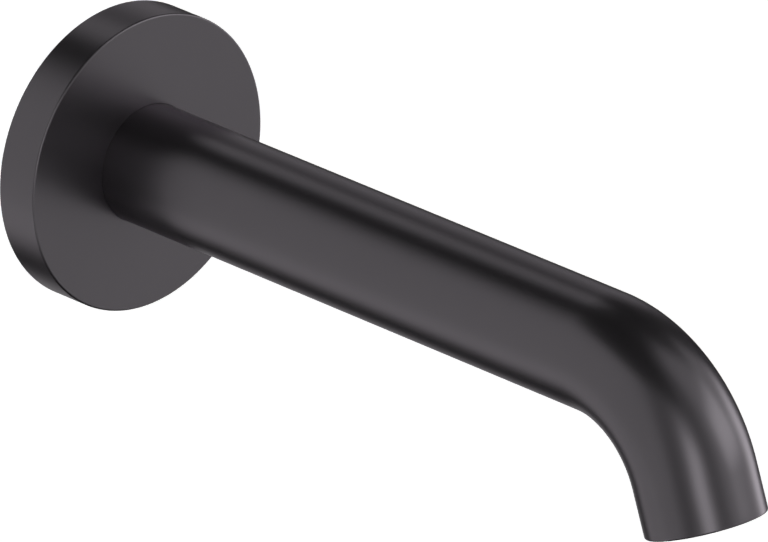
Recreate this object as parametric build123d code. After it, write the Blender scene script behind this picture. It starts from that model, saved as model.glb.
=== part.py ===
from build123d import *
import os
from math import cos, hypot, radians, sin, sqrt

# Wall-mounted bath spout: a cast body that turns down at its outlet, a round escutcheon, the nipple
# that the body is clamped on and a screw-in aerator. The finished wall is the plane Y = 0, the spout
# points along -Y and +Z is up. Sizes are in millimetres and angles in degrees.

# Spout body
TUBE_D = 28.0            # outside diameter, the same all along
PROJECTION = 191.5       # wall to the centre of the outlet
BEND_RADIUS = 31.0       # of the centre line
BEND_ANGLE = 70.0        # down from level
OUTLET_STRAIGHT = 11.2   # straight run after the bend
PASSAGE_WALL = 3.5       # cast wall along the waterway
SOCKET_WALL = 3.0        # wall round the nipple
OUTLET_WALL = 2.0        # wall round the aerator
WALL_GAP = 1.0           # back end of the body to the wall
LEAD_IN = 0.8            # widening of the socket's mouth
LEAD_IN_LENGTH = 2.4
OUTLET_ROUNDING = 0.5    # outer edge of the outlet
OUTLET_CHAMFER = 0.4     # inner edge of the outlet

# Escutcheon, its grip ring and its wall seal
ESCUTCHEON_D = 70.2
ESCUTCHEON_DEPTH = 11.2
FACE_WALL = 2.5          # thickness of the front
RIM_WALL = 5.0           # thickness of the rim
RIM_LIP = 2.2            # lip of the rim outside the wall seal
SEAL_DEPTH = 3.2
EDGE_CHAMFER = 0.5       # front edge of the rim
BACK_CHAMFER = 0.2       # back edge of the rim
HOLE_CHAMFER = 0.3       # front edge of the hole
HOLE_CLEARANCE = 0.15    # hole to spout, each side
COLLAR_WALL = 4.0
COLLAR_BACK = 2.4        # collar to wall
GRIP_GROOVE_DEPTH = 1.5
GRIP_GROOVE_WIDTH = 2.2

# Connection nipple with its two rings, and the clamp screw
THREAD_D = 26.44         # G 3/4 pipe thread, over its crests
THREAD_LENGTH = 15.0
THREAD_CHAMFER = 1.2
NIPPLE_WALL = 4.0
SPIGOT_CLEARANCE = 0.1   # nipple to socket, each side
SCREW_FROM_FACE = 5.8    # escutcheon's front to the clamp screw
RING_FROM_SCREW = 7.0
RING_SPACING = 5.0
SPIGOT_TIP = 4.0         # front ring to the nipple's end
SPIGOT_CHAMFER = 1.0
SOCKET_RELIEF = 1.0      # nipple's end to the end of the socket
RING_GROOVE_DEPTH = 1.6
RING_GROOVE_WIDTH = 2.4
RING_CLEARANCE = 0.03    # rubber ring to the walls that it seals
RING_END_CLEARANCE = 0.2 # rubber ring to the ends of its groove
KEY_MARGIN = 0.4         # hexagon key across its flats, over the bore
KEY_DEPTH = 9.0
SCREW_D = 5.0
SCREW_LENGTH = 4.0
SCREW_CLEARANCE = 0.05   # screw to its hole, each side
SCREW_CHAMFER = 0.7
SCREW_KEY = 2.5          # hexagon across its flats
SCREW_KEY_DEPTH = 2.0
CLAMP_GROOVE_DEPTH = 1.2
CLAMP_GROOVE_CLEARANCE = 0.2  # screw to the sides of its groove
TIP_CLEARANCE = 0.02     # screw's tip to the groove

# Aerator, from its lip up to the washer
AERATOR_RECESS = 0.6     # lip inside the outlet
SHELL_CLEARANCE = 0.1    # shell to outlet, each side
SHELL_WALL = 1.4
LIP_WIDTH = 1.2
LIP_HEIGHT = 1.0
NOTCH_COUNT = 8
NOTCH_WIDTH = 1.8
NOTCH_DEPTH = 0.7
INSERT_CLEARANCE = 0.1   # inserts to shell, each side
GRID_HEIGHT = 3.0
CELL_FLATS = 2.0         # honeycomb cell across its flats
CELL_WEB = 0.5
SCREEN_HEIGHT = 0.4
MESH_GAP = 1.5
MESH_WIRE = 0.7
JET_PLATE_HEIGHT = 1.6
JET_WEB = 0.9
JET_COUNT = 18
JET_WIDTH = 1.1
JET_LENGTH = 1.5         # along the radius
JET_FROM_RIM = 1.9       # jets to the inside of the rim
FILTER_HEIGHT = 1.0      # filter's flange
CUP_RISE = 1.4
CUP_WALL = 0.8
CUP_CLEARANCE = 0.4      # cup to washer, each side
SLOT_COUNT = 14
SLOT_WIDTH = 1.0
SLOT_INNER = 2.8         # inner end of the cup's slots, from the axis
SLOT_MARGIN = 1.4        # outer end of the cup's slots, from its edge
WASHER_HEIGHT = 1.6
WASHER_WIDTH = 2.4
WASHER_CLEARANCE = 0.3   # washer to outlet, each side
SEAT_LEDGE = 1.6         # ledge that the washer seats on

# Radii that follow
tube_r = TUBE_D / 2
passage_r = tube_r - PASSAGE_WALL
socket_r = tube_r - SOCKET_WALL
spigot_r = socket_r - SPIGOT_CLEARANCE
nipple_bore_r = spigot_r - NIPPLE_WALL
ring_groove_r = spigot_r - RING_GROOVE_DEPTH
clamp_groove_r = spigot_r - CLAMP_GROOVE_DEPTH
escutcheon_r = ESCUTCHEON_D / 2
hole_r = tube_r + HOLE_CLEARANCE
collar_r = hole_r + COLLAR_WALL
grip_groove_r = hole_r + GRIP_GROOVE_DEPTH
outlet_r = tube_r - OUTLET_WALL
shell_r = outlet_r - SHELL_CLEARANCE
shell_bore_r = shell_r - SHELL_WALL
lip_r = shell_bore_r - LIP_WIDTH
insert_r = shell_bore_r - INSERT_CLEARANCE
washer_r = outlet_r - WASHER_CLEARANCE
washer_bore_r = washer_r - WASHER_WIDTH
cup_r = washer_bore_r - CUP_CLEARANCE

# Distances from the wall that follow
turn = radians(BEND_ANGLE)
bend_start = PROJECTION - BEND_RADIUS * sin(turn) - OUTLET_STRAIGHT * cos(turn)
outlet_drop = BEND_RADIUS * (1 - cos(turn)) + OUTLET_STRAIGHT * sin(turn)
grip_at = (COLLAR_BACK + ESCUTCHEON_DEPTH) / 2
screw_at = ESCUTCHEON_DEPTH + SCREW_FROM_FACE
rear_ring_at = screw_at + RING_FROM_SCREW
front_ring_at = rear_ring_at + RING_SPACING
spigot_end = front_ring_at + SPIGOT_TIP
socket_end = spigot_end + SOCKET_RELIEF

# Depths inside the outlet that follow
grid_at = AERATOR_RECESS + LIP_HEIGHT
screen_at = grid_at + GRID_HEIGHT
jet_plate_at = screen_at + SCREEN_HEIGHT
filter_at = jet_plate_at + JET_PLATE_HEIGHT
washer_at = filter_at + FILTER_HEIGHT
seat_at = washer_at + WASHER_HEIGHT

# Places: the aerator's pieces are drawn along +Y, from the outlet inwards, and then set in the outlet
SIDE = Plane(origin=(0, 0, 0), x_dir=(0, -1, 0), z_dir=(-1, 0, 0))
OUTLET = Pos(0, -PROJECTION, -outlet_drop) * Rot(BEND_ANGLE, 0, 0)


def turned(points):
    """Solid turned about the Y axis from a half section of (radius, Y) points."""
    return revolve(Polygon(*points, align=None), Axis.Y)


def ring(inner_r, outer_r, start, height):
    """Plain ring about the Y axis."""
    return turned([(inner_r, start), (outer_r, start), (outer_r, start + height), (inner_r, start + height)])


def level(y):
    """Plane square to the Y axis, facing +Y."""
    return Plane(origin=(0, y, 0), x_dir=(1, 0, 0), z_dir=(0, 1, 0))


def polar(shape, radius, count):
    """Copies of a flat shape on a circle, each turned to the centre."""
    return Sketch() + [place * shape for place in PolarLocations(radius, count)]


def sealing_ring(inner_r, outer_r, at, groove_width):
    """Square-cut rubber ring between two walls, in the middle of its groove and clear of all sides."""
    width = groove_width - 2 * RING_END_CLEARANCE
    return ring(inner_r + RING_CLEARANCE, outer_r - RING_CLEARANCE, -at - width / 2, width)


def along_spout(radius, start):
    """Round bar along the spout's centre line, from a distance off the wall to the outlet."""
    run = Line((start, 0), (bend_start, 0))
    bend = JernArc(run @ 1, run % 1, BEND_RADIUS, -BEND_ANGLE)
    end = Line(bend @ 1, bend @ 1 + OUTLET_STRAIGHT * (bend % 1))
    path = SIDE * (run + bend + end)
    return sweep(Plane(path @ 0, z_dir=path % 0) * Circle(radius), path=path)


def spout_body():
    """Casting with the waterway, the nipple's socket, the clamp screw's hole and the aerator's seat."""
    outlet_zone = OUTLET * Pos(0, seat_at + SEAT_LEDGE, 0) * Rot(90, 0, 0) * Cylinder(
        TUBE_D, 2 * TUBE_D, align=(Align.CENTER, Align.CENTER, Align.MIN))
    waterway = along_spout(passage_r, socket_end) - outlet_zone
    socket = turned([
        (0, -WALL_GAP),
        (socket_r + LEAD_IN, -WALL_GAP),
        (socket_r, -WALL_GAP - LEAD_IN_LENGTH),
        (socket_r, -socket_end),
        (0, -socket_end),
    ])
    aerator_bore = OUTLET * turned([
        (0, 0),
        (outlet_r + OUTLET_CHAMFER, 0),
        (outlet_r, OUTLET_CHAMFER),
        (outlet_r, seat_at),
        (washer_bore_r, seat_at),
        (washer_bore_r, seat_at + SEAT_LEDGE),
        (0, seat_at + SEAT_LEDGE),
    ])
    screw_hole = Pos(0, -screw_at, 0) * Cylinder(
        SCREW_D / 2, TUBE_D, align=(Align.CENTER, Align.CENTER, Align.MAX))
    bar = along_spout(tube_r, WALL_GAP)
    outlet_edge = bar.edges().filter_by(GeomType.CIRCLE).sort_by(Axis.Y)[0]
    bar = fillet(outlet_edge, OUTLET_ROUNDING)
    return bar - waterway - socket - aerator_bore - screw_hole


def escutcheon():
    """Cover plate, hollow behind, with a collar round the spout and a rebate for the wall seal."""
    back = ESCUTCHEON_DEPTH - FACE_WALL
    plate = turned([
        (escutcheon_r - BACK_CHAMFER, 0),
        (escutcheon_r, -BACK_CHAMFER),
        (escutcheon_r, -ESCUTCHEON_DEPTH + EDGE_CHAMFER),
        (escutcheon_r - EDGE_CHAMFER, -ESCUTCHEON_DEPTH),
        (hole_r + HOLE_CHAMFER, -ESCUTCHEON_DEPTH),
        (hole_r, -ESCUTCHEON_DEPTH + HOLE_CHAMFER),
        (hole_r, -COLLAR_BACK),
        (collar_r, -COLLAR_BACK),
        (collar_r, -back),
        (escutcheon_r - RIM_WALL, -back),
        (escutcheon_r - RIM_WALL, -SEAL_DEPTH),
        (escutcheon_r - RIM_LIP, -SEAL_DEPTH),
        (escutcheon_r - RIM_LIP, 0),
    ])
    groove = ring(hole_r - HOLE_CLEARANCE, grip_groove_r, -grip_at - GRIP_GROOVE_WIDTH / 2, GRIP_GROOVE_WIDTH)
    return plate - groove


def wall_seal():
    """Cellular rubber ring in the escutcheon's rebate, flush with its back edge."""
    outer_r = escutcheon_r - RIM_LIP - RING_CLEARANCE
    return ring(escutcheon_r - RIM_WALL, outer_r, -SEAL_DEPTH, SEAL_DEPTH)


def connection_nipple():
    """Nipple with a pipe thread behind the wall and a grooved spigot that the body slides on."""
    clamp_half = SCREW_D / 2 + CLAMP_GROOVE_CLEARANCE
    ring_half = RING_GROOVE_WIDTH / 2
    outline = [
        (nipple_bore_r, THREAD_LENGTH),
        (THREAD_D / 2 - THREAD_CHAMFER, THREAD_LENGTH),
        (THREAD_D / 2, THREAD_LENGTH - THREAD_CHAMFER),
        (THREAD_D / 2, 0),
        (spigot_r, 0),
        (spigot_r, -screw_at + clamp_half),
        (clamp_groove_r, -screw_at + clamp_half),
        (clamp_groove_r, -screw_at - clamp_half),
        (spigot_r, -screw_at - clamp_half),
    ]
    for at in (rear_ring_at, front_ring_at):
        outline += [
            (spigot_r, -at + ring_half),
            (ring_groove_r, -at + ring_half),
            (ring_groove_r, -at - ring_half),
            (spigot_r, -at - ring_half),
        ]
    outline += [
        (spigot_r, -spigot_end + SPIGOT_CHAMFER),
        (spigot_r - SPIGOT_CHAMFER, -spigot_end),
        (nipple_bore_r, -spigot_end),
    ]
    key = RegularPolygon(nipple_bore_r + KEY_MARGIN / 2, 6, major_radius=False)
    return turned(outline) - extrude(level(-spigot_end) * key, KEY_DEPTH)


def clamp_screw():
    """Set screw with a flat point in the nipple's groove and a hexagon socket outwards."""
    radius = SCREW_D / 2 - SCREW_CLEARANCE
    tip = -clamp_groove_r - TIP_CLEARANCE
    screw = Pos(0, -screw_at, tip) * Cylinder(
        radius, SCREW_LENGTH, align=(Align.CENTER, Align.CENTER, Align.MAX))
    screw = chamfer(screw.edges().filter_by(GeomType.CIRCLE).sort_by(Axis.Z)[-1], SCREW_CHAMFER)
    key = Pos(0, -screw_at, tip - SCREW_LENGTH) * RegularPolygon(SCREW_KEY / 2, 6, major_radius=False)
    return screw - extrude(key, SCREW_KEY_DEPTH)


def aerator_shell():
    """Screw-in sleeve with a lip under the inserts and key notches in the lip."""
    shell = turned([
        (lip_r, AERATOR_RECESS),
        (shell_r, AERATOR_RECESS),
        (shell_r, washer_at),
        (shell_bore_r, washer_at),
        (shell_bore_r, grid_at),
        (lip_r, grid_at),
    ])
    notches = polar(Rectangle(2 * NOTCH_DEPTH, NOTCH_WIDTH), lip_r, NOTCH_COUNT)
    return shell - extrude(level(AERATOR_RECESS) * notches, LIP_HEIGHT)


def aerator_outlet_grid():
    """Honeycomb that straightens the stream, with every cell that fits inside the lip."""
    pitch = CELL_FLATS + CELL_WEB
    reach = lip_r - CELL_FLATS / sqrt(3)
    rows = int(lip_r / pitch) + 2
    cells = []
    for row in range(-rows, rows + 1):
        for column in range(-rows, rows + 1):
            x = (column + row / 2 % 1) * pitch
            z = row * pitch * sqrt(3) / 2
            if hypot(x, z) < reach:
                cells.append(Pos(x, z) * RegularPolygon(CELL_FLATS / 2, 6, major_radius=False, rotation=30))
    disc = ring(0, insert_r, grid_at, GRID_HEIGHT)
    return disc - extrude(level(grid_at) * (Sketch() + cells), GRID_HEIGHT)


def aerator_screen():
    """Mesh screen on the honeycomb."""
    pitch = MESH_GAP + MESH_WIRE
    reach = lip_r - MESH_GAP / sqrt(2)
    rows = int(lip_r / pitch) + 1
    gaps = []
    for row in range(-rows, rows + 1):
        for column in range(-rows, rows + 1):
            if hypot(row, column) * pitch < reach:
                gaps.append(Pos(column * pitch, row * pitch) * Rectangle(MESH_GAP, MESH_GAP))
    disc = ring(0, insert_r, screen_at, SCREEN_HEIGHT)
    return disc - extrude(level(screen_at) * (Sketch() + gaps), SCREEN_HEIGHT)


def aerator_jet_plate():
    """Plate with a ring of jets over the mixing chamber."""
    web_at = filter_at - JET_WEB
    plate = turned([
        (0, web_at),
        (lip_r, web_at),
        (lip_r, jet_plate_at),
        (insert_r, jet_plate_at),
        (insert_r, filter_at),
        (0, filter_at),
    ])
    jets = polar(Rectangle(JET_LENGTH, JET_WIDTH), lip_r - JET_FROM_RIM, JET_COUNT)
    return plate - extrude(level(web_at) * jets, JET_WEB)


def aerator_filter():
    """Strainer: a flange on the jet plate and a slotted cup that rises through the washer."""
    top = washer_at + CUP_RISE
    strainer = turned([
        (0, top),
        (cup_r, top),
        (cup_r, washer_at),
        (insert_r, washer_at),
        (insert_r, filter_at),
        (cup_r - CUP_WALL, filter_at),
        (cup_r - CUP_WALL, top - CUP_WALL),
        (0, top - CUP_WALL),
    ])
    slot_length = cup_r - SLOT_MARGIN - SLOT_INNER
    slots = polar(Rectangle(slot_length, SLOT_WIDTH), SLOT_INNER + slot_length / 2, SLOT_COUNT)
    return strainer - extrude(level(top - CUP_WALL) * slots, CUP_WALL)


def aerator_washer():
    """Rubber seal between the shell and the outlet's ledge."""
    return ring(washer_bore_r, washer_r, washer_at, WASHER_HEIGHT)


nodes = {
    "spout_body": spout_body(),
    "escutcheon": escutcheon(),
    "escutcheon_grip_ring": sealing_ring(tube_r, grip_groove_r, grip_at, GRIP_GROOVE_WIDTH),
    "wall_seal": wall_seal(),
    "connection_nipple": connection_nipple(),
    "rear_seal_ring": sealing_ring(ring_groove_r, socket_r, rear_ring_at, RING_GROOVE_WIDTH),
    "front_seal_ring": sealing_ring(ring_groove_r, socket_r, front_ring_at, RING_GROOVE_WIDTH),
    "clamp_screw": clamp_screw(),
    "aerator_shell": OUTLET * aerator_shell(),
    "aerator_outlet_grid": OUTLET * aerator_outlet_grid(),
    "aerator_screen": OUTLET * aerator_screen(),
    "aerator_jet_plate": OUTLET * aerator_jet_plate(),
    "aerator_filter": OUTLET * aerator_filter(),
    "aerator_washer": OUTLET * aerator_washer(),
}

os.makedirs("parts", exist_ok=True)
for name, solid in nodes.items():
    export_step(solid, f"parts/{name}.step")
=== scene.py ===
from math import atan2, cos, hypot, pi, radians, sin, sqrt, tau

import bmesh
import bpy
from mathutils import Matrix, Vector


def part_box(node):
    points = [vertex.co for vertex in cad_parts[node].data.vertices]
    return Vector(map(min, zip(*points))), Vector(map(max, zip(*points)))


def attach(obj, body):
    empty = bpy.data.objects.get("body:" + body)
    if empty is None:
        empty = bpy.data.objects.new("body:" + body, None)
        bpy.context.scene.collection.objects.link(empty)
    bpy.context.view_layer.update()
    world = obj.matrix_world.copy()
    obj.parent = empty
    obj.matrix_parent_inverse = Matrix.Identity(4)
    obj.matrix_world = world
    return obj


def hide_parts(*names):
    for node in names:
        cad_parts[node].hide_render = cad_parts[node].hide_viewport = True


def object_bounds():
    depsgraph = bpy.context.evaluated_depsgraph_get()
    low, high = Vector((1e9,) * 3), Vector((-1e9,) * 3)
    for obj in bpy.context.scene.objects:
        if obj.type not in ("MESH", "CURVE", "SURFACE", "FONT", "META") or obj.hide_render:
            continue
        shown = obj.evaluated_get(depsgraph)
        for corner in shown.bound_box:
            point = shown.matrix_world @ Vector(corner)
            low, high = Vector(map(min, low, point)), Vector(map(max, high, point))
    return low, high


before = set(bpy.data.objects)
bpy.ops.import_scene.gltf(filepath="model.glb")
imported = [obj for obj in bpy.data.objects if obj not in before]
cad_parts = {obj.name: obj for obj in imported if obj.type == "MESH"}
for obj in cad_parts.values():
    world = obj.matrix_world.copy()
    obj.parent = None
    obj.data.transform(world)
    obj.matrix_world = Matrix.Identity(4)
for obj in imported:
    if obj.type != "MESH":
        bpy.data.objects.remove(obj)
cad_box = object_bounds()


# Connection nipple. A turned brass fitting that is screwed into the pipe behind the wall by its pipe
# thread. The spout slides on its grooved spigot, and a hexagon key turns it from inside the bore.

MM = 0.001               # shapes are drawn in millimetres and brought to metres when they are finished
ROUND_STEPS = 128        # flats round a turned piece
CORNER_STEPS = 4         # flats round a rounded corner
SHARP_ANGLE = radians(40)
THREAD_ROWS = 12         # rings of points for each turn of a thread
JOIN_GAP = 1e-4          # points nearer than this are one
ON_AXIS = 1e-6           # points nearer than this to the axis lie on it
SLIVER = 1e-3            # edges shorter than this are left by a cut and go


def box_mm(node):
    """Lowest and highest corner of a frame node, in millimetres."""
    low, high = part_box(node)
    return low / MM, high / MM


def turned(outline):
    """Closed shape turned about the Y axis from its half section of (radius, y, corner rounding)."""
    shape = bmesh.new()
    corners = [shape.verts.new((radius, y, 0)) for radius, y, rounding in outline]
    shape.faces.new(corners)
    for size in sorted({rounding for radius, y, rounding in outline} - {0}):
        picked = [corner for corner, point in zip(corners, outline) if point[2] == size]
        bmesh.ops.bevel(
            shape, geom=picked, offset=size, affect="VERTICES",
            segments=CORNER_STEPS, profile=0.5, material=-1)
    bmesh.ops.delete(shape, geom=shape.faces[:], context="FACES_ONLY")
    axis_edges = [edge for edge in shape.edges if all(vert.co.x < ON_AXIS for vert in edge.verts)]
    bmesh.ops.delete(shape, geom=axis_edges, context="EDGES")
    bmesh.ops.spin(
        shape, geom=shape.verts[:] + shape.edges[:], cent=(0, 0, 0), axis=(0, 1, 0),
        angle=tau, steps=ROUND_STEPS, use_merge=True)
    bmesh.ops.remove_doubles(shape, verts=shape.verts[:], dist=JOIN_GAP)
    bmesh.ops.recalc_face_normals(shape, faces=shape.faces[:])
    return shape


def thread_points(radius, start, end, pitch):
    """Section points close enough together along a cylinder to take a thread."""
    rows = round(abs(end - start) / pitch * THREAD_ROWS)
    return [(radius, start + (end - start) * row / rows, 0) for row in range(rows + 1)]


def cut_thread(shape, crest_r, depth, pitch, start, end):
    """Moves the points of a turned cylinder to a rounded right-hand thread that runs out at its start."""
    for vert in shape.verts:
        radius = hypot(vert.co.x, vert.co.z)
        along = (vert.co.y - start) / (end - start)
        if along < 0 or along > 1 or radius < crest_r - depth:
            continue
        run_out = min(1, abs(vert.co.y - start) / pitch)
        wave = cos(tau * vert.co.y / pitch + atan2(vert.co.z, vert.co.x))
        form = crest_r - depth * run_out * (1 - wave) / 2
        vert.co.x *= min(radius, form) / radius
        vert.co.z *= min(radius, form) / radius


def hexagon_key(across_flats, start, end):
    """Hexagon bar along the Y axis, for cutting a key socket."""
    bar = bmesh.new()
    corner_r = across_flats / sqrt(3)
    middle = Matrix.Translation((0, (start + end) / 2, 0)) @ Matrix.Rotation(pi / 2, 4, "X")
    bmesh.ops.create_cone(
        bar, cap_ends=True, segments=6, radius1=corner_r, radius2=corner_r,
        depth=abs(end - start), matrix=middle)
    return bar


def carve(shape, tool):
    """Cuts one closed shape out of another."""
    parts = []
    for name, part in (("carved", shape), ("tool", tool)):
        mesh = bpy.data.meshes.new(name)
        part.to_mesh(mesh)
        part.free()
        parts.append(bpy.data.objects.new(name, mesh))
        bpy.context.scene.collection.objects.link(parts[-1])
    cut = parts[0].modifiers.new("cut", "BOOLEAN")
    cut.operation = "DIFFERENCE"
    cut.solver = "EXACT"
    cut.object = parts[1]
    result = bmesh.new()
    result.from_object(parts[0], bpy.context.evaluated_depsgraph_get())
    bmesh.ops.remove_doubles(result, verts=result.verts[:], dist=SLIVER)
    bmesh.ops.dissolve_degenerate(result, edges=result.edges[:], dist=SLIVER)
    for part in parts:
        bpy.data.meshes.remove(part.data)
    return result


def new_piece(name, shape, finish):
    """Object of a finished shape: in metres, smooth between sharp edges and with flat faces kept flat."""
    bmesh.ops.scale(shape, vec=(MM, MM, MM), verts=shape.verts[:])
    for face in shape.faces:
        face.smooth = True
    for edge in shape.edges:
        edge.smooth = edge.calc_face_angle(pi) < SHARP_ANGLE
    mesh = bpy.data.meshes.new(name)
    shape.to_mesh(mesh)
    shape.free()
    mesh.materials.append(finish)
    piece = bpy.data.objects.new(name, mesh)
    bpy.context.scene.collection.objects.link(piece)
    piece.modifiers.new("flat_faces", "WEIGHTED_NORMAL").keep_sharp = True
    return piece


class Socket:
    """A shader socket: arithmetic on it adds Math nodes, and node() adds any other node."""

    def __init__(self, tree, socket=None):
        self.tree = tree
        self.socket = socket

    def node(self, kind, settings=None, sockets=None, output=0):
        made = self.tree.nodes.new(kind)
        for name, value in (settings or {}).items():
            setattr(made, name, value)
        for name, value in (sockets or {}).items():
            if isinstance(value, Socket):
                self.tree.links.new(value.socket, made.inputs[name])
            else:
                made.inputs[name].default_value = value
        return Socket(self.tree, made.outputs[output])

    def math(self, operation, *values):
        return self.node("ShaderNodeMath", {"operation": operation}, dict(enumerate(values)))

    def feed(self, shader, name):
        self.tree.links.new(self.socket, shader.inputs[name])

    def __add__(self, other):
        return self.math("ADD", self, other)

    def __rsub__(self, other):
        return self.math("SUBTRACT", other, self)

    def __mul__(self, other):
        return self.math("MULTIPLY", self, other)

    __radd__ = __add__
    __rmul__ = __mul__


def new_finish(name, constants):
    """Material, its main shader with the given constants, and the socket of the piece's own coordinates."""
    material = bpy.data.materials.new(name)
    material.use_nodes = True
    shader = material.node_tree.nodes["Principled BSDF"]
    for socket, value in constants.items():
        shader.inputs[socket].default_value = value
    return material, shader, Socket(material.node_tree).node("ShaderNodeTexCoord", output="Object")


def noise(place, per_metre, detail=2):
    """Soft random value with that many spots to the metre."""
    return place.node("ShaderNodeTexNoise", None, {"Vector": place, "Scale": per_metre, "Detail": detail})


def stretched(place, across, along, up):
    """Coordinates scaled along X, Y and Z."""
    return place.node("ShaderNodeVectorMath", {"operation": "MULTIPLY"}, {0: place, 1: (across, along, up)})


def turning_marks(place, per_metre):
    """Fine marks of a lathe tool, round the Y axis."""
    off_axis = stretched(place, 1, 0, 1)
    radius = place.node("ShaderNodeVectorMath", {"operation": "LENGTH"}, {0: off_axis}, output=1)
    along = place.node("ShaderNodeSeparateXYZ", None, {0: place}, output=1)
    return noise(place.node("ShaderNodeCombineXYZ", None, {0: radius, 1: along}), per_metre)


def mixed(share, first, second):
    """Colour between two colours."""
    return share.node("ShaderNodeMix", {"data_type": "RGBA"}, {0: share, 6: first, 7: second}, output=2)


def bump(height, depth):
    """Normal of a surface with that relief."""
    return height.node("ShaderNodeBump", None, {"Height": height, "Distance": depth, "Strength": 1})


BRASS = (0.62, 0.42, 0.17, 1)
BRASS_TARNISHED = (0.50, 0.31, 0.12, 1)
BRASS_ROUGHNESS = 0.24
TARNISH_SPOTS = 160      # to the metre, as for all the finishes
LATHE_MARKS = 5000
LATHE_MARK_DEPTH = 6e-6  # in metres, as for all the finishes
brass, brass_shader, brass_place = new_finish("bare_brass", {"Metallic": 1})
brass_cloud = noise(brass_place, TARNISH_SPOTS, 4)
lathe_marks = turning_marks(brass_place, LATHE_MARKS)
mixed(brass_cloud, BRASS, BRASS_TARNISHED).feed(brass_shader, "Base Color")
(BRASS_ROUGHNESS + 0.10 * brass_cloud + 0.06 * lathe_marks).feed(brass_shader, "Roughness")
bump(lathe_marks, LATHE_MARK_DEPTH).feed(brass_shader, "Normal")

nipple_low, nipple_high = box_mm("connection_nipple")
PIPE_THREAD_PITCH = 25.4 / 14
PIPE_THREAD_DEPTH = 0.64 * PIPE_THREAD_PITCH
PIPE_THREAD_CHAMFER = 1.2
SPIGOT_R = 10.9
SPIGOT_CHAMFER = 1.0
NIPPLE_BORE_R = 6.9
NIPPLE_KEY = 14.2        # hexagon across its flats
NIPPLE_KEY_DEPTH = 9.0
KEY_OVERRUN = 1.0        # how far a cutting key stands out of its socket
BORE_ROUNDING = 0.4
SHOULDER_ROUNDING = 0.3
GROOVE_EDGE = 0.15
GROOVE_FILLET = 0.2
CLAMP_GROOVE = (17.0, 2.7, 1.2)                        # distance from the wall, half width and depth
RING_GROOVES = ((24.0, 1.2, 1.6), (29.0, 1.2, 1.6))
pipe_thread_r = nipple_high.x
chamfer_start = nipple_high.y - PIPE_THREAD_CHAMFER
chamfer_r = pipe_thread_r - PIPE_THREAD_CHAMFER
nipple_outline = [(NIPPLE_BORE_R, nipple_high.y, BORE_ROUNDING), (chamfer_r, nipple_high.y, 0)]
for row in range(1, THREAD_ROWS):
    share = row / THREAD_ROWS
    step = share * PIPE_THREAD_CHAMFER
    nipple_outline.append((chamfer_r + step, nipple_high.y - step, 0))
nipple_outline += thread_points(pipe_thread_r, chamfer_start, 0, PIPE_THREAD_PITCH)
nipple_outline.append((SPIGOT_R, 0, SHOULDER_ROUNDING))
for middle, half, depth in (CLAMP_GROOVE, *RING_GROOVES):
    nipple_outline += [
        (SPIGOT_R, half - middle, GROOVE_EDGE),
        (SPIGOT_R - depth, half - middle, GROOVE_FILLET),
        (SPIGOT_R - depth, -half - middle, GROOVE_FILLET),
        (SPIGOT_R, -half - middle, GROOVE_EDGE),
    ]
nipple_outline += [
    (SPIGOT_R, nipple_low.y + SPIGOT_CHAMFER, SHOULDER_ROUNDING),
    (SPIGOT_R - SPIGOT_CHAMFER, nipple_low.y, GROOVE_FILLET),
    (NIPPLE_BORE_R, nipple_low.y, 0),
]
nipple_shape = turned(nipple_outline)
cut_thread(nipple_shape, pipe_thread_r, PIPE_THREAD_DEPTH, PIPE_THREAD_PITCH, 0, nipple_high.y)
nipple_key = hexagon_key(NIPPLE_KEY, nipple_low.y - KEY_OVERRUN, nipple_low.y + NIPPLE_KEY_DEPTH)
nipple_shape = carve(nipple_shape, nipple_key)
nipple = new_piece("threaded_nipple", nipple_shape, brass)
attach(nipple, "root")
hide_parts("connection_nipple")


# Rubber rings. Two moulded sealing rings lie in the spigot's grooves and seal the waterway, and a third
# one in the cover plate's bore grips the spout. Black rubber, with edges rounded by the mould.

RUBBER = (0.016, 0.016, 0.017, 1)
RUBBER_BLOOM = (0.030, 0.030, 0.031, 1)
RUBBER_SHINE = 0.4
RUBBER_ROUGHNESS = 0.52
BLOOM_SPOTS = 300
RUBBER_GRAINS = 9000
RUBBER_GRAIN_DEPTH = 6e-6
rubber, rubber_shader, rubber_place = new_finish("rubber", {"Specular IOR Level": RUBBER_SHINE})
rubber_cloud = noise(rubber_place, BLOOM_SPOTS, 3)
rubber_skin = noise(rubber_place, RUBBER_GRAINS, 1)
mixed(rubber_cloud, RUBBER, RUBBER_BLOOM).feed(rubber_shader, "Base Color")
(RUBBER_ROUGHNESS + 0.18 * rubber_cloud).feed(rubber_shader, "Roughness")
bump(rubber_skin, RUBBER_GRAIN_DEPTH).feed(rubber_shader, "Normal")

RING_ROUNDING = 0.35
RING_WALLS = {"rear_seal_ring": 1.64, "front_seal_ring": 1.64, "escutcheon_grip_ring": 1.59}
for node, wall in RING_WALLS.items():
    ring_low, ring_high = box_mm(node)
    ring_shape = turned([
        (ring_high.x - wall, ring_low.y, RING_ROUNDING),
        (ring_high.x, ring_low.y, RING_ROUNDING),
        (ring_high.x, ring_high.y, RING_ROUNDING),
        (ring_high.x - wall, ring_high.y, RING_ROUNDING),
    ])
    rubber_ring = new_piece("rubber_" + node, ring_shape, rubber)
    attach(rubber_ring, "root")
    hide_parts(node)


# Spout body. One brass casting, polished, satin finished and coated dark grey. Its round tube turns down
# at the end, its waterway widens to the nipple's socket behind and to the aerator's seat at the outlet.

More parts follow.
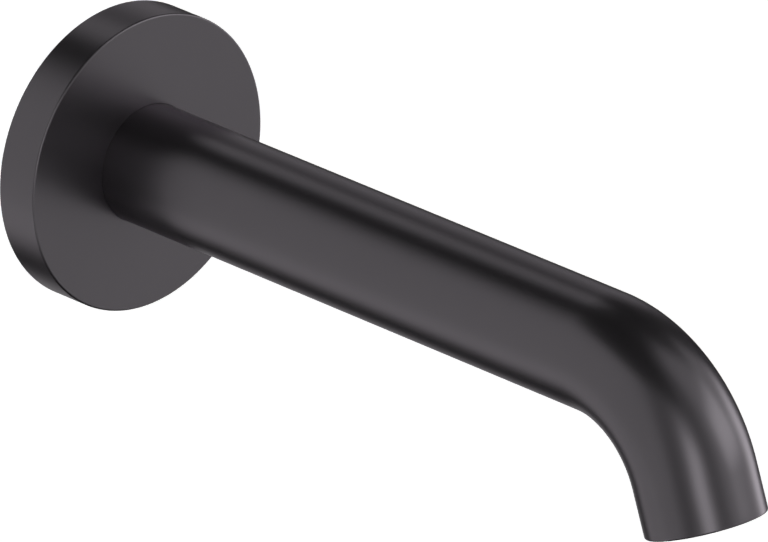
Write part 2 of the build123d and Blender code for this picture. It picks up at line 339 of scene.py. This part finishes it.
SATIN_GREY = (0.0785, 0.0726, 0.0793, 1)
SATIN_GREY_DEEP = (0.0762, 0.0706, 0.0770, 1)
SATIN_EDGE = (1, 0.95, 1, 1)
SATIN_METAL = 0.88       # the rest is coat
SATIN_ROUGHNESS = 0.28
SATIN_CLOUDS = 90
SATIN_GRAINS = 7000
SATIN_GRAIN_DEPTH = 8e-7
satin, satin_shader, satin_place = new_finish(
    "dark_satin_metal", {"Metallic": SATIN_METAL, "Specular Tint": SATIN_EDGE})
satin_cloud = noise(satin_place, SATIN_CLOUDS, 3)
satin_grain = noise(satin_place, SATIN_GRAINS, 2)
mixed(satin_cloud, SATIN_GREY, SATIN_GREY_DEEP).feed(satin_shader, "Base Color")
(SATIN_ROUGHNESS + 0.02 * satin_cloud + 0.02 * satin_grain).feed(satin_shader, "Roughness")
bump(satin_grain, SATIN_GRAIN_DEPTH).feed(satin_shader, "Normal")

body_high = box_mm("spout_body")[1]
PROJECTION = 191.5       # wall to the middle of the outlet
BEND_RADIUS = 31.0
BEND_ANGLE = radians(70)
OUTLET_STRAIGHT = 11.2
OUTLET_ROUNDING = 0.5
OUTLET_CHAMFER = 0.4
OUTLET_BORE_R = 12.0
SEAT_DEPTH = 9.2
SEAT_LEDGE = 1.6
THROAT_R = 9.3
PASSAGE_R = 10.5
SOCKET_R = 11.0
SOCKET_END = 34.0
LEAD_IN = 0.8
LEAD_IN_LENGTH = 2.4
BACK_ROUNDING = 0.3
RUN_STEPS = 48           # rings of points along the level run
BEND_STEPS = 64
OUTLET_STEPS = 4
SOCKET_STEPS = 8
tube_r = body_high.x
down_spout = Vector((0, -cos(BEND_ANGLE), -sin(BEND_ANGLE)))
bend_start = BEND_RADIUS * sin(BEND_ANGLE) + OUTLET_STRAIGHT * cos(BEND_ANGLE) - PROJECTION
bend_centre = Vector((0, bend_start, -BEND_RADIUS))
outlet_drop = BEND_RADIUS * (1 - cos(BEND_ANGLE)) + OUTLET_STRAIGHT * sin(BEND_ANGLE)
outlet_middle = Vector((0, -PROJECTION, -outlet_drop))


def extended(shape, loop, matrix):
    """Draws a loop of edges out to a moved copy of itself and returns the copy's edges."""
    grown = bmesh.ops.extrude_edge_only(shape, edges=loop)["geom"]
    points = [part for part in grown if isinstance(part, bmesh.types.BMVert)]
    bmesh.ops.transform(shape, matrix=matrix, verts=points)
    reached = set(points)
    edges = [part for part in grown if isinstance(part, bmesh.types.BMEdge)]
    return [edge for edge in edges if reached.issuperset(edge.verts)]


def run(shape, loop, travel, steps=1):
    """Extends a loop along a straight run."""
    for step in range(steps):
        loop = extended(shape, loop, Matrix.Translation(travel / steps))
    return loop


def resized(shape, loop, middle, ratio):
    """Extends a loop to a larger or smaller one in its own plane."""
    about = Matrix.Translation(middle) @ Matrix.Scale(ratio, 4) @ Matrix.Translation(-middle)
    return extended(shape, loop, about)


def bent(shape, loop, angle):
    """Extends a loop round the spout's bend."""
    points = list({vert for edge in loop for vert in edge.verts})
    made = bmesh.ops.spin(
        shape, geom=points + loop, cent=bend_centre, axis=(1, 0, 0), angle=angle, steps=BEND_STEPS)
    return [part for part in made["geom_last"] if isinstance(part, bmesh.types.BMEdge)]


body_shape = bmesh.new()
bmesh.ops.create_circle(
    body_shape, radius=tube_r, segments=ROUND_STEPS,
    matrix=Matrix.Translation((0, body_high.y, 0)) @ Matrix.Rotation(pi / 2, 4, "X"))
back_edge = body_shape.edges[:]
loop = run(body_shape, back_edge, Vector((0, bend_start - body_high.y, 0)), RUN_STEPS)
loop = bent(body_shape, loop, BEND_ANGLE)
outlet_edge = run(body_shape, loop, down_spout * OUTLET_STRAIGHT, OUTLET_STEPS)
bore_edge = resized(body_shape, outlet_edge, outlet_middle, OUTLET_BORE_R / tube_r)
loop = run(body_shape, bore_edge, -down_spout * SEAT_DEPTH, OUTLET_STEPS)
seat_middle = outlet_middle - down_spout * SEAT_DEPTH
loop = resized(body_shape, loop, seat_middle, THROAT_R / OUTLET_BORE_R)
loop = run(body_shape, loop, -down_spout * SEAT_LEDGE)
throat_middle = seat_middle - down_spout * SEAT_LEDGE
loop = resized(body_shape, loop, throat_middle, PASSAGE_R / THROAT_R)
loop = run(body_shape, loop, -down_spout * (OUTLET_STRAIGHT - SEAT_DEPTH - SEAT_LEDGE))
loop = bent(body_shape, loop, -BEND_ANGLE)
loop = run(body_shape, loop, Vector((0, -SOCKET_END - bend_start, 0)), RUN_STEPS)
loop = resized(body_shape, loop, Vector((0, -SOCKET_END, 0)), SOCKET_R / PASSAGE_R)
socket_run = Vector((0, SOCKET_END + body_high.y - LEAD_IN_LENGTH, 0))
loop = run(body_shape, loop, socket_run, SOCKET_STEPS)
lead_in = Matrix.Diagonal((1 + LEAD_IN / SOCKET_R, 1, 1 + LEAD_IN / SOCKET_R, 1))
mouth_edge = extended(body_shape, loop, Matrix.Translation((0, LEAD_IN_LENGTH, 0)) @ lead_in)
bmesh.ops.bridge_loops(body_shape, edges=mouth_edge + back_edge)
for edges, size in ((outlet_edge, OUTLET_ROUNDING), (bore_edge, OUTLET_CHAMFER), (back_edge, BACK_ROUNDING)):
    bmesh.ops.bevel(
        body_shape, geom=edges, offset=size, affect="EDGES", segments=CORNER_STEPS, profile=0.5, material=-1)
bmesh.ops.remove_doubles(body_shape, verts=body_shape.verts[:], dist=JOIN_GAP)
bmesh.ops.recalc_face_normals(body_shape, faces=body_shape.faces[:])

# The clamp screw's hole is drilled through the underside, with its mouth broken by a countersink.
SCREW_AT = 17.0
SCREW_HOLE_R = 2.5
COUNTERSINK = 0.35
drill = turned([
    (0, 0, 0),
    (SCREW_HOLE_R, 0, 0),
    (SCREW_HOLE_R, tube_r - COUNTERSINK, 0),
    (SCREW_HOLE_R + 2 * COUNTERSINK, tube_r + COUNTERSINK, 0),
    (0, tube_r + COUNTERSINK, 0),
])
under_spout = Matrix.Translation((0, -SCREW_AT, 0)) @ Matrix.Rotation(-pi / 2, 4, "X")
bmesh.ops.transform(drill, matrix=under_spout, verts=drill.verts[:])
body_shape = carve(body_shape, drill)
body = new_piece("cast_spout_body", body_shape, satin)
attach(body, "root")
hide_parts("spout_body")


# Clamp screw. A stainless set screw in the underside of the tube: its flat point sits in the nipple's
# groove and holds the spout, and a hexagon key turns it from below.

STEEL = (0.56, 0.55, 0.53, 1)
STEEL_DULL = (0.44, 0.43, 0.42, 1)
STEEL_ROUGHNESS = 0.22
STEEL_SPOTS = 900
STEEL_GRAINS = 12000
STEEL_GRAIN_DEPTH = 2e-6
steel, steel_shader, steel_place = new_finish("stainless_steel", {"Metallic": 1})
steel_cloud = noise(steel_place, STEEL_SPOTS, 3)
mixed(steel_cloud, STEEL, STEEL_DULL).feed(steel_shader, "Base Color")
(STEEL_ROUGHNESS + 0.16 * steel_cloud).feed(steel_shader, "Roughness")
bump(noise(steel_place, STEEL_GRAINS, 2), STEEL_GRAIN_DEPTH).feed(steel_shader, "Normal")

screw_low, screw_high = box_mm("clamp_screw")
SCREW_PITCH = 0.8
SCREW_THREAD_DEPTH = 0.43
SCREW_POINT = 0.7        # chamfer of the flat point
SCREW_POINT_ROUNDING = 0.1
SCREW_KEY = 2.5
SCREW_KEY_DEPTH = 2.0
SCREW_END_CHAMFER = 0.4
screw_r = screw_high.x
screw_tip, screw_end = -screw_high.z, -screw_low.z
screw_shape = turned([
    (0, screw_tip, 0),
    (screw_r - SCREW_POINT, screw_tip, SCREW_POINT_ROUNDING),
    *thread_points(screw_r, screw_tip + SCREW_POINT, screw_end - SCREW_END_CHAMFER, SCREW_PITCH),
    (screw_r - SCREW_END_CHAMFER, screw_end, 0),
    (0, screw_end, 0),
])
thread_end = screw_end - SCREW_END_CHAMFER / 2
cut_thread(screw_shape, screw_r, SCREW_THREAD_DEPTH, SCREW_PITCH, screw_tip, thread_end)
screw_key = hexagon_key(SCREW_KEY, screw_end - SCREW_KEY_DEPTH, screw_end + KEY_OVERRUN)
screw_shape = carve(screw_shape, screw_key)
bmesh.ops.transform(screw_shape, matrix=under_spout, verts=screw_shape.verts[:])
screw = new_piece("set_screw", screw_shape, steel)
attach(screw, "root")
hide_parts("clamp_screw")


# Cover plate. A round brass plate in the spout's finish, turned with fine edges. It slides along the tube
# to the wall, is hollow behind, and has a collar with a groove for the grip ring.

plate_low, plate_high = box_mm("escutcheon")
FRONT_ROUNDING = 0.5
BACK_EDGE = 0.2
COLLAR_EDGE = 0.35
PLATE_FACE = 2.5         # thickness of the front
RIM_WALL = 5.0
RIM_LIP = 2.2            # lip of the rim outside the wall seal
SEAL_DEPTH = 3.2
HOLE_R = 14.02
HOLE_EDGE = 0.06
COLLAR_R = 18.15
COLLAR_BACK = 2.4        # collar to wall
GRIP_GROOVE_R = 15.65
GRIP_GROOVE = (5.7, 7.9)  # from and to, off the wall
CAST_FILLET = 1.0
CUT_EDGE = 0.12
plate_r = plate_high.x
plate_front = plate_low.y
hollow_front = plate_front + PLATE_FACE
rebate_r = plate_r - RIM_LIP
plate_shape = turned([
    (plate_r, 0, BACK_EDGE),
    (plate_r, plate_front, FRONT_ROUNDING),
    (HOLE_R, plate_front, HOLE_EDGE),
    (HOLE_R, -GRIP_GROOVE[1], CUT_EDGE),
    (GRIP_GROOVE_R, -GRIP_GROOVE[1], CUT_EDGE),
    (GRIP_GROOVE_R, -GRIP_GROOVE[0], CUT_EDGE),
    (HOLE_R, -GRIP_GROOVE[0], CUT_EDGE),
    (HOLE_R, -COLLAR_BACK, COLLAR_EDGE),
    (COLLAR_R, -COLLAR_BACK, COLLAR_EDGE),
    (COLLAR_R, hollow_front, CAST_FILLET),
    (plate_r - RIM_WALL, hollow_front, CAST_FILLET),
    (plate_r - RIM_WALL, -SEAL_DEPTH, CUT_EDGE),
    (rebate_r, -SEAL_DEPTH, CUT_EDGE),
    (rebate_r, 0, CUT_EDGE),
])
plate = new_piece("cover_plate", plate_shape, satin)
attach(plate, "root")
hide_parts("escutcheon")


# Wall seal. A ring of cellular rubber, punched from sheet and glued into the plate's rebate. It keeps
# splashes from behind the plate, and its cut faces show fine pores, with painted shade in their hollows.

FOAM = (0.024, 0.024, 0.026, 1)
# painted shade: the darker colour of the pores' hollows
FOAM_PORE_SHADE = (0.008, 0.008, 0.009, 1)
FOAM_ROUGHNESS = 0.85
FOAM_SHINE = 0.25
FOAM_PORES = 2600
PORE_STEEPNESS = 1.6
PORE_DEPTH = 1.2e-4
foam, foam_shader, foam_place = new_finish(
    "cellular_rubber", {"Roughness": FOAM_ROUGHNESS, "Specular IOR Level": FOAM_SHINE})
foam_pores = foam_place.node("ShaderNodeTexVoronoi", None, {"Vector": foam_place, "Scale": FOAM_PORES})
foam_wall = foam_pores.math("MINIMUM", foam_pores * PORE_STEEPNESS, 1)
# painted shade: the pores' middles are coloured darker, as shade in the hollows
mixed(foam_wall, FOAM_PORE_SHADE, FOAM).feed(foam_shader, "Base Color")
bump(foam_wall, PORE_DEPTH).feed(foam_shader, "Normal")

seal_low, seal_high = box_mm("wall_seal")
SEAL_WIDTH = 2.77
SEAL_ROUNDING = 0.4
seal_shape = turned([
    (seal_high.x - SEAL_WIDTH, seal_low.y, SEAL_ROUNDING),
    (seal_high.x, seal_low.y, SEAL_ROUNDING),
    (seal_high.x, seal_high.y, SEAL_ROUNDING),
    (seal_high.x - SEAL_WIDTH, seal_high.y, SEAL_ROUNDING),
])
seal = new_piece("foam_wall_seal", seal_shape, foam)
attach(seal, "root")
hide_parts("wall_seal")


# Aerator shell. A turned sleeve with a fine outside thread, screwed into the outlet by a key that fits the
# notches in its lip. It has the spout's finish and carries the plastic inserts.

SHELL_R = 11.9
SHELL_BORE_R = 10.5
SHELL_TOP = 7.6
LIP_R = 9.3
LIP_FRONT = 0.6          # behind the outlet's edge
LIP_BACK = 1.6
SHELL_EDGE = 0.15
SHELL_TOP_CHAMFER = 0.3
SHELL_THREAD_PITCH = 1.0
SHELL_THREAD_DEPTH = 0.55
SHELL_THREAD_START = 2.2
NOTCH_COUNT = 8
NOTCH_WIDTH = 1.8
NOTCH_DEPTH = 0.7
NOTCH_CUTTER = 3.0       # length of the cutter, through the lip
in_outlet = Matrix.Translation(outlet_middle) @ Matrix.Rotation(BEND_ANGLE, 4, "X")
shell_shape = turned([
    (LIP_R, LIP_FRONT, SHELL_EDGE),
    (SHELL_R, LIP_FRONT, SHELL_EDGE),
    *thread_points(SHELL_R, SHELL_THREAD_START, SHELL_TOP - SHELL_TOP_CHAMFER, SHELL_THREAD_PITCH),
    (SHELL_R - SHELL_TOP_CHAMFER, SHELL_TOP, 0),
    (SHELL_BORE_R, SHELL_TOP, SHELL_EDGE),
    (SHELL_BORE_R, LIP_BACK, SHELL_EDGE),
    (LIP_R, LIP_BACK, SHELL_EDGE),
])
cut_thread(shell_shape, SHELL_R, SHELL_THREAD_DEPTH, SHELL_THREAD_PITCH, SHELL_THREAD_START, SHELL_TOP)
notches = bmesh.new()
for notch in range(NOTCH_COUNT):
    at_lip = Matrix.Rotation(tau * notch / NOTCH_COUNT, 4, "Y") @ Matrix.Translation((LIP_R, LIP_FRONT, 0))
    bmesh.ops.create_cube(
        notches, size=1, matrix=at_lip @ Matrix.Diagonal((2 * NOTCH_DEPTH, NOTCH_CUTTER, NOTCH_WIDTH, 1)))
shell_shape = carve(shell_shape, notches)
bmesh.ops.transform(shell_shape, matrix=in_outlet, verts=shell_shape.verts[:])
shell = new_piece("aerator_sleeve", shell_shape, satin)
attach(shell, "root")
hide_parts("aerator_shell")


# Honeycomb. The grey moulded insert behind the lip, whose hexagon cells straighten the stream. The cells'
# mouths are rounded by the mould.

GREY_PLASTIC = (0.195, 0.20, 0.21, 1)
GREY_PLASTIC_DEEP = (0.165, 0.17, 0.178, 1)
PLASTIC_IOR = 1.48
MOULD_GRAINS = 9000
MOULD_GRAIN_DEPTH = 3e-6
GREY_PLASTIC_ROUGHNESS = 0.36
GREY_PLASTIC_CLOUDS = 700
grey_plastic, grey_shader, grey_place = new_finish("grey_plastic", {"IOR": PLASTIC_IOR})
grey_cloud = noise(grey_place, GREY_PLASTIC_CLOUDS, 3)
mixed(grey_cloud, GREY_PLASTIC, GREY_PLASTIC_DEEP).feed(grey_shader, "Base Color")
(GREY_PLASTIC_ROUGHNESS + 0.14 * grey_cloud).feed(grey_shader, "Roughness")
bump(noise(grey_place, MOULD_GRAINS, 1), MOULD_GRAIN_DEPTH).feed(grey_shader, "Normal")

INSERT_R = 10.4
CELL_FLATS = 2.0
CELL_WEB = 0.5
GRID_HEIGHT = 3.0
CELL_ROUNDING = 0.12
SQUARE_CORNER = 1.5      # angle between faces, in radians, from which an edge counts as square
CELL_JOIN_GAP = 0.01
CELL_CORNER_STEPS = 2
ON_FRONT = 1e-3          # points nearer than this to the front lie on it
cell_pitch = CELL_FLATS + CELL_WEB
cell_reach = LIP_R - CELL_FLATS / sqrt(3)
cell_rows = int(LIP_R / cell_pitch) + 2
grid_shape = bmesh.new()
for row in range(-cell_rows, cell_rows + 1):
    for column in range(-cell_rows, cell_rows + 1):
        across = (column + row / 2 % 1) * cell_pitch
        up = row * cell_pitch * sqrt(3) / 2
        if hypot(across, up) < cell_reach:
            bmesh.ops.create_circle(
                grid_shape, cap_ends=True, segments=6, radius=cell_pitch / sqrt(3),
                matrix=Matrix.Translation((across, up, 0)))
bmesh.ops.remove_doubles(grid_shape, verts=grid_shape.verts[:], dist=CELL_JOIN_GAP)
cells = grid_shape.faces[:]
cells_outline = [edge for edge in grid_shape.edges if edge.is_boundary]
rim_points = bmesh.ops.create_circle(grid_shape, segments=ROUND_STEPS, radius=INSERT_R)["verts"]
rim_edges = list({edge for vert in rim_points for edge in vert.link_edges})
bmesh.ops.triangle_fill(grid_shape, edges=cells_outline + rim_edges, use_beauty=True)
bmesh.ops.inset_individual(grid_shape, faces=cells, thickness=CELL_WEB / 2, use_even_offset=True)
bmesh.ops.delete(grid_shape, geom=cells, context="FACES_ONLY")
raised = bmesh.ops.extrude_face_region(grid_shape, geom=grid_shape.faces[:])["geom"]
raised_points = [part for part in raised if isinstance(part, bmesh.types.BMVert)]
bmesh.ops.translate(grid_shape, vec=(0, 0, GRID_HEIGHT), verts=raised_points)
bmesh.ops.recalc_face_normals(grid_shape, faces=grid_shape.faces[:])
mouth_edges = [edge for edge in grid_shape.edges if edge.calc_face_angle(0) > SQUARE_CORNER]
mouth_edges = [edge for edge in mouth_edges if all(abs(vert.co.z) < ON_FRONT for vert in edge.verts)]
bmesh.ops.bevel(
    grid_shape, geom=mouth_edges, offset=CELL_ROUNDING, affect="EDGES",
    segments=CELL_CORNER_STEPS, profile=0.5, material=-1)
behind_lip = in_outlet @ Matrix.Translation((0, LIP_BACK, 0)) @ Matrix.Rotation(-pi / 2, 4, "X")
bmesh.ops.transform(grid_shape, matrix=behind_lip, verts=grid_shape.verts[:])
grid = new_piece("honeycomb_insert", grid_shape, grey_plastic)
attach(grid, "root")
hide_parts("aerator_outlet_grid")


# Screen, jet plate, strainer and washer. The aerator's inner pieces lie behind the honeycomb and keep the
# frame's own shapes: a steel screen, two white moulded plates and a rubber washer on the outlet's ledge.

WHITE_PLASTIC = (0.66, 0.66, 0.64, 1)
WHITE_PLASTIC_DEEP = (0.58, 0.58, 0.55, 1)
WHITE_PLASTIC_ROUGHNESS = 0.38
WHITE_PLASTIC_CLOUDS = 500
white_plastic, white_shader, white_place = new_finish("white_plastic", {"IOR": PLASTIC_IOR})
white_cloud = noise(white_place, WHITE_PLASTIC_CLOUDS, 3)
mixed(white_cloud, WHITE_PLASTIC, WHITE_PLASTIC_DEEP).feed(white_shader, "Base Color")
(WHITE_PLASTIC_ROUGHNESS + 0.12 * white_cloud).feed(white_shader, "Roughness")
bump(noise(white_place, MOULD_GRAINS, 1), MOULD_GRAIN_DEPTH).feed(white_shader, "Normal")

inner_finishes = {
    "aerator_screen": (steel, "stainless_steel"),
    "aerator_jet_plate": (white_plastic, "white_plastic"),
    "aerator_filter": (white_plastic, "white_plastic"),
    "aerator_washer": (rubber, "rubber"),
}
for node, (finish, slot) in inner_finishes.items():
    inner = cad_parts[node]
    inner.data.materials.clear()
    inner.data.materials.append(finish)


# Floor. A pale disc some way below the spout, which takes its soft shadow. The metal doesn't mirror it, and
# seen from below it is clear, so that the underside can be looked at.

FLOOR_DROP = 0.2
FLOOR_R = 3.0
FLOOR_GREY = (0.8, 0.8, 0.8, 1)
FLOOR_LIFT = 0.60        # brings the unshaded floor to white in the picture


def background_rays(nodes):
    """1 for the rays that see the plain background: from the camera, from metal and through glass."""
    rays = nodes.node("ShaderNodeLightPath").socket.node
    kinds = ("Is Camera Ray", "Is Glossy Ray", "Is Transmission Ray")
    camera_ray, glossy_ray, glass_ray = (Socket(nodes.tree, rays.outputs[kind]) for kind in kinds)
    return nodes.math("MINIMUM", camera_ray + glossy_ray + glass_ray, 1)


floor_shape = bmesh.new()
bmesh.ops.create_circle(
    floor_shape, cap_ends=True, segments=ROUND_STEPS, radius=FLOOR_R,
    matrix=Matrix.Translation((0, 0, cad_box[0].z - FLOOR_DROP)))
floor_mesh = bpy.data.meshes.new("floor")
floor_shape.to_mesh(floor_mesh)
floor_shape.free()
floor = bpy.data.objects.new("floor", floor_mesh)
bpy.context.scene.collection.objects.link(floor)
floor.visible_glossy = False
floor_finish = bpy.data.materials.new("pale_floor")
floor_finish.use_nodes = True
floor_mesh.materials.append(floor_finish)
floor_nodes = Socket(floor_finish.node_tree)
seen = background_rays(floor_nodes)
matt = floor_nodes.node("ShaderNodeBsdfDiffuse", None, {"Color": FLOOR_GREY})
lift = floor_nodes.node("ShaderNodeEmission", None, {"Strength": FLOOR_LIFT * seen})
top_side = floor_nodes.node("ShaderNodeAddShader", None, {0: matt, 1: lift})
from_below = floor_nodes.node("ShaderNodeNewGeometry", output="Backfacing")
clear = floor_nodes.node("ShaderNodeBsdfTransparent")
floor_nodes.node("ShaderNodeMixShader", None, {0: from_below, 1: top_side, 2: clear}).feed(
    floor_finish.node_tree.nodes["Material Output"], "Surface")


# Studio. A plain white room with a light tent round the spout. The camera doesn't see the tent, and the
# metal sees the room only through its open parts. The tent has a dark floor, ceiling and back wall, a few
# grey and white panels and soft lamps, each placed by compass bearing from +Y and height in degrees.

ROOM_LIGHT = 0.9
DARK = 0.02
GREY = 0.4
WHITE = 1
LAMP = 3.3
SOFT_EDGE = 12           # degrees from a panel's full light to none
BEARING_START = -84      # where the compass is cut, in the tent's open side on the left
TENT_R = 20.0            # so far off that it looks the same from every point of the spout
panels = {               # strength, bearings from and to, heights from and to
    "floor": (DARK, -100, 300, -100, -45),
    "ceiling": (DARK, -100, 300, 45, 100),
    "white ceiling on the right": (WHITE, 105, 175, 45, 80),
    "back wall": (DARK, -10, 85, -60, 55),
    "panel on the back wall": (GREY, 30, 60, 0, 30),
    "foot of the back wall": (GREY, 15, 45, -45, -25),
    "window over the back wall": (WHITE, 15, 35, 30, 50),
    "left wall": (GREY, 230, 260, -35, 45),
    "front wall": (GREY, 175, 205, -5, 80),
    "front lamp": (LAMP, 205, 225, -10, 30),
    "box lamp on the right": (LAMP, 115, 155, 10, 40),
    "strip lamp on the right": (LAMP, 85, 105, -25, 15),
    "low lamp on the left": (LAMP, -65, -50, -55, -30),
}
studio = bpy.data.worlds.new("studio")
studio.use_nodes = True
bpy.context.scene.world = studio
studio_nodes = Socket(studio.node_tree)
room = ROOM_LIGHT + (1 - ROOM_LIGHT) * background_rays(studio_nodes)
room.feed(studio.node_tree.nodes["Background"], "Strength")
studio.node_tree.nodes["Background"].inputs["Color"].default_value = (1, 1, 1, 1)
bpy.context.scene.view_settings.view_transform = "Standard"

tent_shape = bmesh.new()
bmesh.ops.create_uvsphere(tent_shape, u_segments=ROUND_STEPS, v_segments=ROUND_STEPS // 2, radius=TENT_R)
tent_mesh = bpy.data.meshes.new("light_tent")
tent_shape.to_mesh(tent_mesh)
tent_shape.free()
tent = bpy.data.objects.new("light_tent", tent_mesh)
bpy.context.scene.collection.objects.link(tent)
tent.visible_camera = False
tent_finish = bpy.data.materials.new("light_tent")
tent_finish.use_nodes = True
tent_finish.cycles.emission_sampling = "NONE"
tent_mesh.materials.append(tent_finish)
tent_nodes = Socket(tent_finish.node_tree)
tent_place = tent_nodes.node("ShaderNodeTexCoord", output="Object")
direction = tent_nodes.node("ShaderNodeVectorMath", {"operation": "NORMALIZE"}, {0: tent_place})
split = tent_nodes.node("ShaderNodeSeparateXYZ", None, {0: direction}).socket.node
east, north, height = (Socket(tent_finish.node_tree, split.outputs[axis]) for axis in range(3))
compass = tent_nodes.math("DEGREES", tent_nodes.math("ARCTAN2", east, north))
bearing = tent_nodes.math("WRAP", compass, BEARING_START + 360, BEARING_START)
rise = tent_nodes.math("DEGREES", tent_nodes.math("ARCSINE", height))


def passed(angle, limit):
    """Step from 0 to 1 where an angle passes a limit, as wide as the soft edge."""
    return angle.node("ShaderNodeMapRange", {"interpolation_type": "SMOOTHSTEP"}, {
        "Value": angle, "From Min": limit - SOFT_EDGE / 2, "From Max": limit + SOFT_EDGE / 2})


glow, open_share = 0, 1
for strength, left, right, bottom, top in panels.values():
    beside = passed(bearing, left) * (1 - passed(bearing, right))
    inside = beside * passed(rise, bottom) * (1 - passed(rise, top))
    glow = glow * (1 - inside) + inside * strength
    open_share = open_share * (1 - inside)
panel_light = tent_nodes.node("ShaderNodeEmission", None, {"Strength": glow})
open_side = tent_nodes.node("ShaderNodeBsdfTransparent", None, {"Color": open_share})
tent_nodes.node("ShaderNodeAddShader", None, {0: panel_light, 1: open_side}).feed(
    tent_finish.node_tree.nodes["Material Output"], "Surface")


# Camera. A long lens from the spout's left and above, fitted to the photograph's outline. The picture's
# middle lies a little to the right of the aim and above it.

CAMERA_BEARING = radians(-43.474)
CAMERA_HEIGHT = radians(23.2095)
CAMERA_DISTANCE = 3.4504
CAMERA_AIM = Vector((0, -0.087198, -0.014))
AIM_RIGHT = 0.001077
AIM_UP = 0.010143
FOCAL_PIXELS = 15459.5
PHOTO_WIDTH = 768
SENSOR_WIDTH = 36
towards_camera = Vector((
    sin(CAMERA_BEARING) * cos(CAMERA_HEIGHT),
    -cos(CAMERA_BEARING) * cos(CAMERA_HEIGHT),
    sin(CAMERA_HEIGHT),
))
photo_right = Vector((cos(CAMERA_BEARING), sin(CAMERA_BEARING), 0))
photo_up = towards_camera.cross(photo_right)
lens = bpy.data.cameras.new("camera")
lens.sensor_width = SENSOR_WIDTH
lens.lens = FOCAL_PIXELS * SENSOR_WIDTH / PHOTO_WIDTH
camera = bpy.data.objects.new("camera", lens)
camera.location = CAMERA_AIM + AIM_RIGHT * photo_right + AIM_UP * photo_up + CAMERA_DISTANCE * towards_camera
camera.rotation_euler = towards_camera.to_track_quat("Z", "Y").to_euler()
bpy.context.scene.collection.objects.link(camera)
bpy.context.scene.camera = camera
